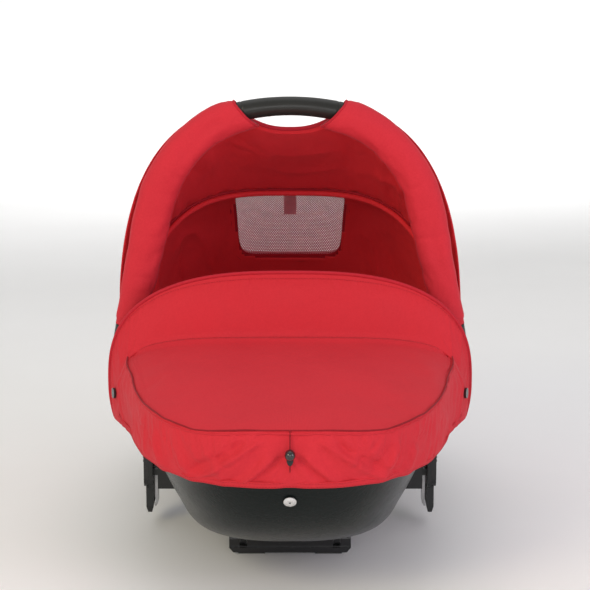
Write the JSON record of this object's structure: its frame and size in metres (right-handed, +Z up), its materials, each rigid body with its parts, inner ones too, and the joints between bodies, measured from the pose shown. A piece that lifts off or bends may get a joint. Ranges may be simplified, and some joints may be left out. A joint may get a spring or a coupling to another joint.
{
  "type": "infant car seat",
  "caption": "Lie-flat infant car seat: rocker-bottomed tub with padded hood, apron with wind flap, swinging carry handle, docking arms and fold-out feet.",
  "frame": {"origin": "on the floor under the middle of the seat", "axes": "+X across the seat to the right as seen from the foot end, +Y from the foot end to the head end, +Z up"},
  "size_m": [0.442, 0.809, 0.5361],
  "materials": {
    "tub_black": "fine satin grain",
    "trim_black": "satin",
    "red_fabric": "plain weave, padded",
    "dark_red_fabric": "plain weave lining",
    "mesh": "open mesh",
    "webbing": "ribbed webbing",
    "mattress_cover": "soft knit",
    "board_grey": "matt",
    "gloss_black": "glossy",
    "bar_black": "smooth satin coat",
    "grip_rubber": "matt",
    "bright_steel": "zinc plated",
    "rivet_aluminium": "satin",
    "button_grey": "satin",
    "button_red": "satin"
  },
  "bodies": {
    "tub": {"shell": "tub_black", "rim_trim": "trim_black", "liner": "red_fabric", "base_board": "board_grey", "mattress": "mattress_cover", "vent_grommets": "gloss_black", "end_rivets": "rivet_aluminium", "belly_pad_left": "red_fabric", "belly_pad_right": "red_fabric", "crotch_strap": "webbing", "buckle_body": "gloss_black", "hub_base_left": "trim_black", "hub_base_right": "trim_black", "pivot_pin_left": "bright_steel", "pivot_pin_right": "bright_steel", "hood_top": "red_fabric", "hood_rear": "dark_red_fabric", "hood_window": "mesh", "window_strap": "webbing", "apron_top": "red_fabric", "apron_skirt": "red_fabric", "wind_flap": "red_fabric", "flap_snaps": "gloss_black", "apron_toggle": "gloss_black", "dock_bracket_left": "trim_black", "dock_bracket_right": "trim_black", "dock_tongue_left": "trim_black", "dock_tongue_right": "trim_black", "dock_cover_left": "gloss_black", "dock_cover_right": "gloss_black", "dock_screws": "bright_steel", "foot_bracket_front": "trim_black", "foot_bracket_rear": "trim_black"},
    "handle": {"handle_bar": "bar_black", "handle_grip": "grip_rubber", "handle_end_left": "trim_black", "handle_end_right": "trim_black", "hub_cap_left": "gloss_black", "hub_cap_right": "gloss_black", "sleeve_left": "red_fabric", "sleeve_right": "red_fabric", "lock_spring_left": "bright_steel", "lock_spring_right": "bright_steel"},
    "bow": {"hood_bow": "bright_steel"},
    "lock_button_left": {"lock_button_left": "button_grey"},
    "lock_button_right": {"lock_button_right": "button_grey"},
    "buckle_button": {"buckle_button": "button_red"},
    "dock_release_left": {"dock_release_left": "button_grey"},
    "dock_release_right": {"dock_release_right": "button_grey"},
    "dock_latch_left": {"dock_latch_left": "bright_steel"},
    "dock_latch_right": {"dock_latch_right": "bright_steel"},
    "foot_front": {"foot_bar_front": "gloss_black", "foot_pin_front": "bright_steel", "foot_pads_front": "grip_rubber"},
    "foot_rear": {"foot_bar_rear": "gloss_black", "foot_pin_rear": "bright_steel", "foot_pads_rear": "grip_rubber"}
  },
  "joints": [
    {"name": "handle_swing", "type": "hinge", "parent": "tub", "child": "handle", "pos_m": [0, 0, 0.158], "axis": [1, 0, 0], "range_deg": [-48, 0], "deforming": ["hood_top", "hood_rear", "hood_window", "window_strap"]},
    {"name": "bow_swing", "type": "hinge", "parent": "tub", "child": "bow", "pos_m": [0, 0, 0.158], "axis": [1, 0, 0], "range_deg": [-25, 0]},
    {"name": "lock_press_left", "type": "slide", "parent": "handle", "child": "lock_button_left", "axis": [1, 0, 0], "range_m": [0, 0.004], "stiffness_N_per_m": 900, "springref_m": -0.003, "deforming": ["lock_spring_left"]},
    {"name": "lock_press_right", "type": "slide", "parent": "handle", "child": "lock_button_right", "axis": [-1, 0, 0], "range_m": [0, 0.004], "stiffness_N_per_m": 900, "springref_m": -0.003, "deforming": ["lock_spring_right"]},
    {"name": "buckle_press", "type": "slide", "parent": "tub", "child": "buckle_button", "axis": [0, 0, -1], "range_m": [0, 0.003], "stiffness_N_per_m": 900, "springref_m": -0.003},
    {"name": "dock_lift_left", "type": "slide", "parent": "tub", "child": "dock_release_left", "axis": [0, 0, 1], "range_m": [0, 0.008], "stiffness_N_per_m": 500, "springref_m": -0.003},
    {"name": "latch_swing_left", "type": "hinge", "parent": "tub", "child": "dock_latch_left", "pos_m": [-0.1677, 0, 0.078], "axis": [0, -1, 0], "range_deg": [0, 6.6]},
    {"name": "dock_lift_right", "type": "slide", "parent": "tub", "child": "dock_release_right", "axis": [0, 0, 1], "range_m": [0, 0.008], "stiffness_N_per_m": 500, "springref_m": -0.003},
    {"name": "latch_swing_right", "type": "hinge", "parent": "tub", "child": "dock_latch_right", "pos_m": [0.1677, 0, 0.078], "axis": [0, 1, 0], "range_deg": [0, 6.6]},
    {"name": "foot_fold_front", "type": "hinge", "parent": "tub", "child": "foot_front", "pos_m": [0, -0.128, 0.017], "axis": [1, 0, 0], "range_deg": [0, 80]},
    {"name": "foot_fold_rear", "type": "hinge", "parent": "tub", "child": "foot_rear", "pos_m": [0, 0.128, 0.017], "axis": [-1, 0, 0], "range_deg": [0, 80]}
  ],
  "couplings": [
    {"joint": "bow_swing", "follows": "handle_swing", "ratio": 0.5},
    {"joint": "latch_swing_left", "follows": "dock_lift_left", "rad_per_m": 14},
    {"joint": "latch_swing_right", "follows": "dock_lift_right", "rad_per_m": 14}
  ]
}
